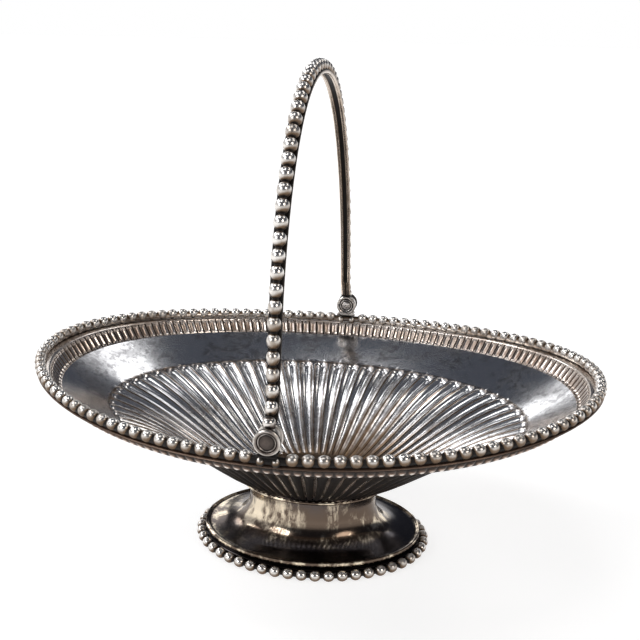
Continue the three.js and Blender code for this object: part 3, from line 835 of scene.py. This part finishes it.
beads = ring_of_beads(rim_bead_at, RIM_HALF, RIM_HALF_WIDE, RIM_BEADS, rim_bead,
                      RIM_STRING, RIM_STRING_DROP)
finish_piece("rim_beads", beads, "beads", "basket",
             ["rim_border_left", "rim_border_right"])

# %% [markdown]
# ## The spreading foot
# The foot is a waisted stem that runs out into a hollow-curved flange with a small lip.
# It is one sheet, soldered to a base ring that carries the lowest row of beads, and a
# round wire hides the seam at the neck. Its ovals shrink in proportion inwards.

# %% Sizes and ovals of the foot
FOOT_HALF = 70.6 * MM
FOOT_HALF_WIDE = 56 * MM
FOOT_SHEET = 1.4 * MM
FOOT_STEPS = 216
RING_INNER = 64.45 * MM
STEM = [(41.2, 39.2), (40.2, 36.4), (39.4, 32), (39.3, 28.5), (40, 23.5), (42.6, 17.8),
        (47, 13.5), (53.5, 10.9), (59.5, 9.7), (63.6, 9.2), (65.6, 9.3)]
STEM_STEPS = 5
# How much lighter the flange's left end is painted: painted light.
STEM_PAINTED_LIGHT = 0.6
LIP = [(66.2, 9.8), (66.9, 10.0), (67.5, 9.7), (67.65, 9.1), (67.6, 8.0), (67.2, 7.4),
       (66.4, 7.1), (66.2, 5.5), (65.0, 5.5)]
LIP_HOLLOWS = [0.0, 0.0, 0.0, 0.0, 0.15, 0.6, 1.0, 1.0, 1.0]
STEM_TOP = [(36.5, 38.0), (36.5, 39.2)]
BASE_RING = [(64.45, 0.4), (64.85, 0), (67.25, 0), (67.65, 0.4), (67.65, 5.1), (67.25, 5.5),
             (64.85, 5.5), (64.45, 5.1)]
BASE_RING_HOLLOWS = [0.5, 0.5, 0.5, 0.7, 0.9, 0.9, 0.8, 0.6]
WIRE_OUT = 42.9
WIRE_HEIGHT = 38.1
WIRE_RADIUS = 1.1
WIRE_SIDES = 12


def foot_point(out, height, turn):
    aspect = FOOT_HALF_WIDE / FOOT_HALF
    edge = min(FOOT_HALF - out, FOOT_HALF - RING_INNER)
    wide = out * aspect - (1 - aspect) * edge
    return Vector((out * math.cos(turn), wide * math.sin(turn), height))


def foot_ring(name, section, tarnish_and_shade_values, finish, nodes, painted_light=0.0):
    """A closed section carried round the foot's ovals. Its last argument is how much
    lighter its left end is painted, as painted light."""
    turns = turns_at(FOOT_HALF, FOOT_HALF_WIDE, np.arange(FOOT_STEPS) / FOOT_STEPS)
    places = [[foot_point(out, height, turn) for turn in turns] for out, height in section]
    shades = np.outer(tarnish_and_shade_values, 1 - painted_light * np.clip(-np.cos(turns), 0, 1) ** 3)
    bm = bent_grid(np.array(places), shades, True)
    finish_piece(name, bm, finish, "basket", nodes)


def offset(section, thickness):
    """The section moved by a thickness to its right, which is under the sheet."""
    return [(out - lean.x * thickness, height - lean.y * thickness)
            for (out, height), lean in zip(section, squares(section))]


# %% Make the foot, its base ring and the neck's wire
def stem_tarnish_and_shade(out, height):
    """The flange is painted dark, a painted reflection of a dark room, and the stem grows darker
    close under the neck.
    """
    flange = np.interp(out / MM, [44, 52, 63.5, 65], [0.05, 0.55, 0.6, 0.0])
    return float(flange + np.interp(height / MM, [26, 38], [0, 0.3]))


def make_foot():
    outer = [tuple(point) for point in smooth_line(in_metres(STEM), STEM_STEPS)]
    inner = offset(outer, FOOT_SHEET)[:-2]
    section = [*outer, *in_metres(LIP), *reversed(inner), *in_metres(STEM_TOP)]
    tarnish_and_shade_values = [stem_tarnish_and_shade(*point) for point in outer] + LIP_HOLLOWS
    tarnish_and_shade_values += [0.6] * len(inner) + [0.5, 0.5]
    foot_ring("foot_stem", section, tarnish_and_shade_values, "foot", ["foot"], STEM_PAINTED_LIGHT)


def make_neck_wire():
    turns = np.linspace(0, TURN, WIRE_SIDES + 1)[:-1]
    wire = [(WIRE_OUT + WIRE_RADIUS * math.cos(t), WIRE_HEIGHT + WIRE_RADIUS * math.sin(t))
            for t in turns]
    tarnish_and_shade_values = [0.6 - 0.6 * math.cos(t - 0.3) for t in turns]
    foot_ring("neck_collar", in_metres(wire), tarnish_and_shade_values, "foot", ["neck_wire"])


make_foot()
foot_ring("foot_base_strip", in_metres(BASE_RING), BASE_RING_HOLLOWS, "foot",
          ["foot_base_ring"])
make_neck_wire()

# %% String beads round the foot
FOOT_BEADS = 50
FOOT_BEAD_RADIUS = 3.2 * MM
FOOT_BEAD_HEIGHT = 3.3 * MM
FOOT_BEAD_INSET = 0.5 * MM
FOOT_STRING = 1.3 * MM


def foot_bead_at(turn):
    return foot_point(FOOT_HALF - FOOT_BEAD_INSET, FOOT_BEAD_HEIGHT, turn)


def foot_bead(centre, half_span):
    return centre, FOOT_BEAD_RADIUS, half_span * 0.9, BEAD_SHADE


beads = ring_of_beads(foot_bead_at, FOOT_HALF, FOOT_HALF_WIDE, FOOT_BEADS, foot_bead, FOOT_STRING)
finish_piece("foot_beads", beads, "beads", "basket",
             ["foot_border_left", "foot_border_right"])

# %% [markdown]
# ## The handle
# The handle is a grooved strap bent into a squared half oval, with a row of graduated
# beads along its outer face. The beads grow from the hinges to the top. The strap is a
# section swept along the curve, and the groove in its inner face dies out at both ends.

# %% Sizes of the handle
HANDLE_HALF = 119.4 * MM
HANDLE_RISE = 168 * MM
HANDLE_SQUARENESS = 2.18
HANDLE_FLARE = 9.6 * MM
FLARE_HEIGHT = 26 * MM
HANDLE_START = 10.2 * MM
HANDLE_BEAD = (6.8 * MM, 7.7 * MM)
HANDLE_PITCH = 8.0 * MM
STRAP_WIDTH = (6.4 * MM, 7.6 * MM)
STRAP_FACE = 2.0 * MM
STRAP_THICKNESS = 2.4 * MM
ACROSS = Vector((1, 0, 0))

# %% The handle's curve
BAIL_POINTS = 3001
SLOPE_STEP = 0.2 * MM


def bail_line():
    """The curve of the handle's beads, front to rear: a squared half oval that flares
    a little at its foot."""
    start = math.asin((HANDLE_START / HANDLE_RISE) ** (HANDLE_SQUARENESS / 2))
    angle = np.linspace(start, math.pi - start, BAIL_POINTS)
    power = 2 / HANDLE_SQUARENESS
    height = HANDLE_RISE * np.sin(angle) ** power
    low = np.maximum(0, 1 - height / FLARE_HEIGHT)
    out = HANDLE_HALF * np.abs(np.cos(angle)) ** power + HANDLE_FLARE * low ** 2
    return -np.sign(np.cos(angle)) * out, HINGE_HEIGHT + height


BAIL_Y, BAIL_Z = bail_line()
BAIL_RUN = np.concatenate([[0], np.cumsum(np.hypot(np.diff(BAIL_Y), np.diff(BAIL_Z)))])
BAIL_LENGTH = float(BAIL_RUN[-1])


def bail_frame(share):
    """Centre, direction along and direction out of the handle's curve."""
    run = min(max(share, 0), 1) * BAIL_LENGTH

    def at(distance):
        y, z = (np.interp(distance, BAIL_RUN, way) for way in (BAIL_Y, BAIL_Z))
        return Vector((0, y, z))

    along = (at(run + SLOPE_STEP) - at(run - SLOPE_STEP)).normalized()
    return at(run), along, ACROSS.cross(along)


def growth(sizes, share):
    return sizes[0] + (sizes[1] - sizes[0]) * math.sin(math.pi * min(max(share, 0), 1))


def bead_joints():
    """Shares of the handle's length where its beads meet."""
    return np.linspace(0, 1, round(BAIL_LENGTH / HANDLE_PITCH) + 1)


print("handle:", round(BAIL_LENGTH / MM), "mm long,", len(bead_joints()) - 1, "beads")

# %% Make the strap
GROOVE_HALF = 1.25 * MM
GROOVE_DEPTH = 1.0 * MM
GROOVE_ENDS = 9 * MM
GROOVE_ROUND = 1.5 * MM
STRAP_SOFT = 0.5 * MM
STRAP_STATIONS = 200
STRAP_ENDS = 14 * MM
STRAP_END_STATIONS = 15


def strap_section(share):
    """Points round the strap: how far to the side, how far out and how hollow."""
    half = growth(STRAP_WIDTH, share) / 2
    face, back = -STRAP_FACE, -STRAP_FACE - STRAP_THICKNESS
    from_end = min(share, 1 - share) * BAIL_LENGTH
    ends = rounding(from_end - GROOVE_ENDS, GROOVE_ROUND)
    deep = GROOVE_DEPTH * ends
    wide = GROOVE_HALF * max(0.3, ends)
    soft = STRAP_SOFT
    rail = (half + wide) / 2
    side = [(half - soft, face, 1), (half, face - soft, 0.9), (half, back + 2 * soft, 0.35),
            (half - 0.3 * soft, back + soft, 0), (half - soft, back + 0.3 * soft, 0),
            (rail, back, 0), (wide + soft, back + 0.2 * soft, 0.1),
            (wide + 0.2 * soft, back + 0.5 * deep, 0.7), (wide - 0.4 * soft, back + deep, 1)]
    return [*side, *[(-x, out, shade) for x, out, shade in reversed(side)]]


def make_strap():
    bm = bmesh.new()
    near_ends = np.linspace(0, STRAP_ENDS / BAIL_LENGTH, STRAP_END_STATIONS)
    middle = np.linspace(near_ends[-1], 1 - near_ends[-1], STRAP_STATIONS)
    shares = [*near_ends[:-1], *middle, *(1 - near_ends[::-1][1:])]
    loops = []
    for share in shares:
        centre, _, out = bail_frame(share)
        loops.append([centre + ACROSS * x + out * y for x, y, _ in strap_section(share)])
    hollow = tarnish_and_shade_layer(bm)
    rings = sweep(bm, loops)
    for share, ring in zip(shares, rings):
        for vert, (_, _, shade) in zip(ring, strap_section(share)):
            vert[hollow] = shade
    finish_piece("handle_rails", bm, "strap", "handle", ["handle_strap"])


# %% Make the handle's beads
HANDLE_BEAD_SEAT = 2.3 * MM
# Painted shade on the downward halves of the handle's beads.
HANDLE_BEAD_SHADE = 0.5
HANDLE_STRING = 1.7 * MM
HANDLE_STRING_DROP = 0.5 * MM
HANDLE_STRING_STATIONS = 180


def make_handle_beads():
    bm = bmesh.new()
    joints = bead_joints()
    for low, high in zip(joints, joints[1:]):
        centre, along, out = bail_frame((low + high) / 2)
        radius = growth(HANDLE_BEAD, (low + high) / 2) / 2
        half_along = (high - low) * BAIL_LENGTH / 2
        add_bead(bm, centre, along, out, radius, half_along, HANDLE_BEAD_SHADE, HANDLE_BEAD_SEAT)
    frames = [bail_frame(share) for share in np.linspace(0.002, 0.998, HANDLE_STRING_STATIONS)]
    points, along, outs = zip(*frames)
    lower = [point - out * HANDLE_STRING_DROP for point, out in zip(points, outs)]
    add_string(bm, lower, along, outs, HANDLE_STRING, (1,) * STRING_SIDES)
    finish_piece("handle_bead_row", bm, "beads", "handle", ["handle_beads"])


make_strap()
make_handle_beads()

# %% [markdown]
# ## The hinges
# Each end of the handle is an eye between two ears, on a pin riveted over at both ends.
# The ears stand on a small base that sits on the rim's beads. The outer ear has a
# raised ring round its recess. Round pieces are turned, and the ears are cut from plate.

# %% Sizes of the hinges
EYE_MIDDLE = 126.5 * MM
SEAT_HEIGHT = 110.0
EAR_RADIUS = 6.6
EAR_FROM = 2.5
EAR_TO = 4.8
BASE_HALF = 5.0
BASE_THICKNESS = 1.0
BASE_LEDGE = 0.8
INNER_SPREAD = 6.4
OUTER_SPREAD = 5.0
SHANK_BEND = (1.3, 2.6)
SHANK_FOOT = 1.1
PLATE_SOFT = 0.35
CORNER_ANGLE = 0.5
RING_STEPS = 56
PIN_STEPS = 40
HINGE_TURN = (Matrix.Translation((0, -EYE_MIDDLE, HINGE_HEIGHT))
              @ Matrix.Rotation(math.pi / 2, 4, "X"))
# Turned sections: a radius and a distance outboard of the eye's middle, both in mm, and
# a value of tarnish and painted shade, painted darker on outboard faces than inboard.
EAR_RINGS = [
    [(4.9, 4.0, 1), (4.95, 5.0, 0.8), (5.2, 5.5, 0.45), (5.7, 5.75, 0.38), (6.2, 5.65, 0.2),
     (6.7, 5.2, 0.1), (6.7, 4.0, 0.8)],
    [(3.9, 4.0, 1), (3.95, 4.9, 0.5), (4.25, 5.2, 0.3), (4.6, 5.05, 0.4), (4.7, 4.0, 0.9)],
    [(5.0, -4.6, 1), (5.05, -5.05, 0.4), (5.4, -5.35, 0), (6.2, -5.3, 0), (6.6, -4.9, 0.1),
     (6.7, -4.6, 0.6)],
    [(3.5, -4.6, 1), (3.55, -5.1, 0.4), (3.8, -5.35, 0), (4.2, -5.2, 0.1), (4.4, -4.6, 0.8)],
    [(2.7, -4.5, 1), (2.7, -4.9, 1), (5.1, -4.9, 1), (5.1, -4.5, 1)],
]
PIN = [(0, -5.5, 0), (1.2, -5.42, 0), (2.4, -5.15, 0.1), (3.0, -4.85, 0.5), (3.1, -4.1, 0.9),
       (1.6, -4.1, 1), (1.6, 4.1, 1), (3.7, 4.1, 1), (3.7, 4.8, 0.9), (3.3, 4.98, 0.75),
       (1.2, 5.0, 0.68), (0, 4.95, 0.72)]
EYE = [(1.9, -2.2, 1), (5.6, -2.2, 0.5), (6.05, -2.0, 0.2), (6.2, -1.5, 0), (6.2, 1.5, 0),
       (6.05, 2.0, 0.2), (5.6, 2.2, 0.5), (1.9, 2.2, 1)]


# %% Turn, cut and place the parts of a hinge
def turned(bm, outline, closed, steps):
    """Lathe work on the hinge's axis."""
    points = [(radius * MM, out * MM, shade) for radius, out, shade in outline]
    verts = spin_outline(bm, points, steps, closed)
    bmesh.ops.transform(bm, matrix=HINGE_TURN, verts=verts)


def plate(bm, outline, near, far, shade):
    """A flat outline (across, height) in mm, thick from near to far outboard of the
    eye's middle, with soft edges."""
    hollow = tarnish_and_shade_layer(bm)
    known = set(bm.verts)
    side = -EYE_MIDDLE - near * MM
    face = bm.faces.new([bm.verts.new((x * MM, side, z * MM)) for x, z in outline])
    grown = bmesh.ops.extrude_face_region(bm, geom=[face])["geom"]
    moved = [item for item in grown if isinstance(item, bmesh.types.BMVert)]
    bmesh.ops.translate(bm, verts=moved, vec=(0, (near - far) * MM, 0))
    fresh = [vert for vert in bm.verts if vert not in known]
    edges = {edge for vert in fresh for edge in vert.link_edges
             if len(edge.link_faces) == 2 and edge.calc_face_angle(0) > CORNER_ANGLE}
    bmesh.ops.bevel(bm, geom=list(edges), offset=PLATE_SOFT * MM, offset_type="OFFSET",
                    segments=2, profile=0.5, affect="EDGES", material=-1, clamp_overlap=True)
    for vert in bm.verts:
        if vert not in known:
            vert[hollow] = shade


def finish_hinge(name, place, bm, body, node):
    if place == "rear":
        about = Matrix.Rotation(math.pi, 3, "Z")
        bmesh.ops.rotate(bm, verts=bm.verts, cent=(0, 0, 0), matrix=about)
    finish_piece(f"{name}_{place}", bm, "hinge", body, [f"{node}_{place}"])


# %% Make ears and pins
def ear_outline(spread):
    """An ear is a disc on a shank that spreads to its base."""
    hinge = HINGE_HEIGHT / MM
    angles = np.linspace(-math.pi / 5, math.pi * 6 / 5, 29)
    arc = [(EAR_RADIUS * math.cos(t), hinge + EAR_RADIUS * math.sin(t)) for t in angles]
    shank = [arc[-1], (-spread + SHANK_BEND[0], SEAT_HEIGHT + SHANK_BEND[1]),
             (-spread, SEAT_HEIGHT + SHANK_FOOT)]
    left = [tuple(point) for point in smooth_line(shank, 3)[1:]] + [(-spread, SEAT_HEIGHT)]
    right = [(-x, z) for x, z in reversed(left)]
    return arc + left + right


def make_bracket(place):
    bm = bmesh.new()
    low, top = SEAT_HEIGHT, SEAT_HEIGHT + BASE_THICKNESS
    base = [(-BASE_HALF, low), (BASE_HALF, low), (BASE_HALF, top), (-BASE_HALF, top)]
    # The base is painted near-black as painted shadow on the beads below; the outer ear is
    # painted dark and the inner ear light, as painted shade and painted light.
    plate(bm, base, -EAR_TO, EAR_TO + BASE_LEDGE, shade=0.95)
    plate(bm, ear_outline(INNER_SPREAD), -EAR_TO, -EAR_FROM, shade=0.15)
    plate(bm, ear_outline(OUTER_SPREAD), EAR_FROM, EAR_TO, shade=0.95)
    for ring in EAR_RINGS:
        turned(bm, ring, True, RING_STEPS)
    finish_hinge("bracket", place, bm, "basket", "hinge_bracket")


def make_pin(place):
    bm = bmesh.new()
    turned(bm, PIN, False, PIN_STEPS)
    finish_hinge("rivet", place, bm, "basket", "hinge_pin")


# %% Make the cast ends
NECK_POINTS = 11
NECK_LOW = Vector((0, -125.8 * MM, 122.9 * MM))
NECK_SINK = 0.4 * MM
NECK_EASE = (3.5 * MM, 4 * MM)
NECK_HALF_LOW = (2.9, 1.4)
NECK_HALF_HIGH = (3.2, 1.2)
# The neck is painted near-black, as painted shade in the gap between strap and eye.
NECK_PAINTED_SHADE = 0.9
END_BEAD_CENTRE = Vector((0, -126.2 * MM, 125.8 * MM))
END_BEAD_RADIUS = 3.5 * MM
END_BEAD_HALF = 3.4 * MM
BOX_STEPS = 16
BOX_POWER = 0.35


def rounded_box():
    """Points round a box with soft corners, from -1 to 1 both ways."""
    turns = np.linspace(0, TURN, BOX_STEPS + 1)[:-1]
    circle = [(math.cos(turn), math.sin(turn)) for turn in turns]
    return [[math.copysign(abs(way) ** BOX_POWER, way) for way in point] for point in circle]


def make_eye(place):
    """The eye round the rivet, the neck up to the strap and the lowest round bead."""
    bm = bmesh.new()
    turned(bm, EYE, True, RING_STEPS)
    centre, along, out = bail_frame(0)
    high = centre - out * (STRAP_FACE + STRAP_THICKNESS / 2) + along * NECK_SINK
    line = interpolate_bezier(NECK_LOW, NECK_LOW + UP * NECK_EASE[0],
                              high - along * NECK_EASE[1], high, NECK_POINTS)
    loops = []
    for middle, share in zip(line, np.linspace(0, 1, NECK_POINTS)):
        lean = UP.lerp(along, min(1.0, 1.6 * share)).normalized()
        wide = ACROSS * blend(NECK_HALF_LOW[0], NECK_HALF_HIGH[0], share) * MM
        thick = ACROSS.cross(lean) * blend(NECK_HALF_LOW[1], NECK_HALF_HIGH[1], share) * MM
        loops.append([middle + wide * x + thick * y for x, y in rounded_box()])
    hollow = tarnish_and_shade_layer(bm)
    for ring in sweep(bm, loops):
        for vert in ring:
            vert[hollow] = NECK_PAINTED_SHADE
    add_bead(bm, END_BEAD_CENTRE, UP, Vector((0, -1, 0)), END_BEAD_RADIUS, END_BEAD_HALF,
             HANDLE_BEAD_SHADE)
    finish_hinge("eye", place, bm, "handle", "handle_end")


for place in ("front", "rear"):
    make_bracket(place)
    make_pin(place)
    make_eye(place)

# %% [markdown]
# ## Floor, room and lamps
# Metal shows the room it stands in. The floor and the air just above it are white, and
# the ceiling is dark, so the silver gets its blacks. Broad suns light the floor evenly
# however far it goes. They are as wide as windows, and each stands where the
# photograph shows one running over the band, the flutes or the beads.

# %% Make the floor
FLOOR_RADIUS = 30.0
FLOOR_COLOUR = colour(0.50, 0.50, 0.50)
FLOOR_GLOW = 0.76
SEEN_RAYS = ("Is Camera Ray", "Is Glossy Ray", "Is Transmission Ray")


def make_floor():
    """A white floor that keeps shadows: part of its white is its own glow."""
    bm = bmesh.new()
    bmesh.ops.create_circle(bm, cap_ends=True, segments=64, radius=FLOOR_RADIUS)
    mesh = bpy.data.meshes.new("floor")
    bm.to_mesh(mesh)
    bm.free()
    floor = bpy.data.objects.new("floor", mesh)
    bpy.context.scene.collection.objects.link(floor)
    paper = bpy.data.materials.new("white_paper")
    paper.use_nodes = True
    graph = Graph(paper.node_tree)
    inputs = paper.node_tree.nodes["Principled BSDF"].inputs
    inputs["Base Color"].default_value = FLOOR_COLOUR
    inputs["Roughness"].default_value = 0.9
    inputs["Specular IOR Level"].default_value = 0.0
    inputs["Emission Color"].default_value = colour(1, 1, 1)
    seen = [graph.node("ShaderNodeLightPath", {}, [], name) for name in SEEN_RAYS]
    share = (seen[0] + seen[1] + seen[2]).clamp()
    graph.feed(inputs["Emission Strength"], share * FLOOR_GLOW)
    mesh.materials.append(paper)


make_floor()

# %% Make the room
HORIZON = (0.09, 0.26)
WALL_FROM = (0.5, 0.75)
AIR = colour(1, 1, 1)
CEILING = colour(0.048, 0.053, 0.068)
WALL = colour(0.42, 0.42, 0.44)


def make_room():
    """White from the floor up to a low horizon, and dark above it. A grey wall stands
    on the left, which is what the right half of the bowl shows."""
    room = bpy.data.worlds.new("room")
    room.use_nodes = True
    graph = Graph(room.node_tree)
    direction = graph.node("ShaderNodeTexCoord", {}, [], "Generated")
    height = graph.node("ShaderNodeSeparateXYZ", {}, [direction], 2)
    left = graph.node("ShaderNodeSeparateXYZ", {}, [direction], 0) * -1.0
    upper = graph.mix(left.above(*WALL_FROM), CEILING, WALL)
    background = room.node_tree.nodes["Background"]
    graph.feed(background.inputs["Color"], graph.mix(height.above(*HORIZON), AIR, upper))
    bpy.context.scene.world = room


make_room()

# %% Hang the lamps
AIM = Vector((0, 0, 0.08))
# Where each one stands, its width in degrees, how bright it is seen and any tint
SUNS = {
    "overhead": ((-0.16, -0.08, 0.98), 20, 3.4),
    "rear_window": ((-0.16, 0.31, 0.93), 7, 3.0),
    "left_high": ((-0.68, 0.05, 0.73), 27, 4.5),
    "left_rear": ((-0.62, 0.55, 0.56), 14, 5.0),
    "right_high": ((0.50, 0.30, 0.81), 14, 3.6, (1, 0.95, 0.88)),
    "rear_right": ((0.24, 0.64, 0.73), 19, 2.1),
    "rear_low": ((-0.34, 0.82, 0.46), 14, 1.7),
    "front_left": ((-0.55, -0.62, 0.56), 24, 5.0),
    "front_right": ((0.60, -0.50, 0.62), 22, 5.0, (1, 0.93, 0.85)),
}


def broad_sun(name, place, width, radiance, tint=(1, 1, 1)):
    """A sun as wide as a large soft box, and as bright where it is seen."""
    lamp = bpy.data.lights.new(name, "SUN")
    lamp.angle = math.radians(width)
    lamp.energy = radiance * math.pi * math.sin(lamp.angle / 2) ** 2
    lamp.color = tint
    made = bpy.data.objects.new(name, lamp)
    made.location = place
    made.rotation_euler = (AIM - Vector(place)).to_track_quat("-Z", "Y").to_euler()
    bpy.context.scene.collection.objects.link(made)


for name, sun in SUNS.items():
    broad_sun(name, *sun)
print("lamps:", sum(o.type == "LIGHT" for o in bpy.context.scene.objects))
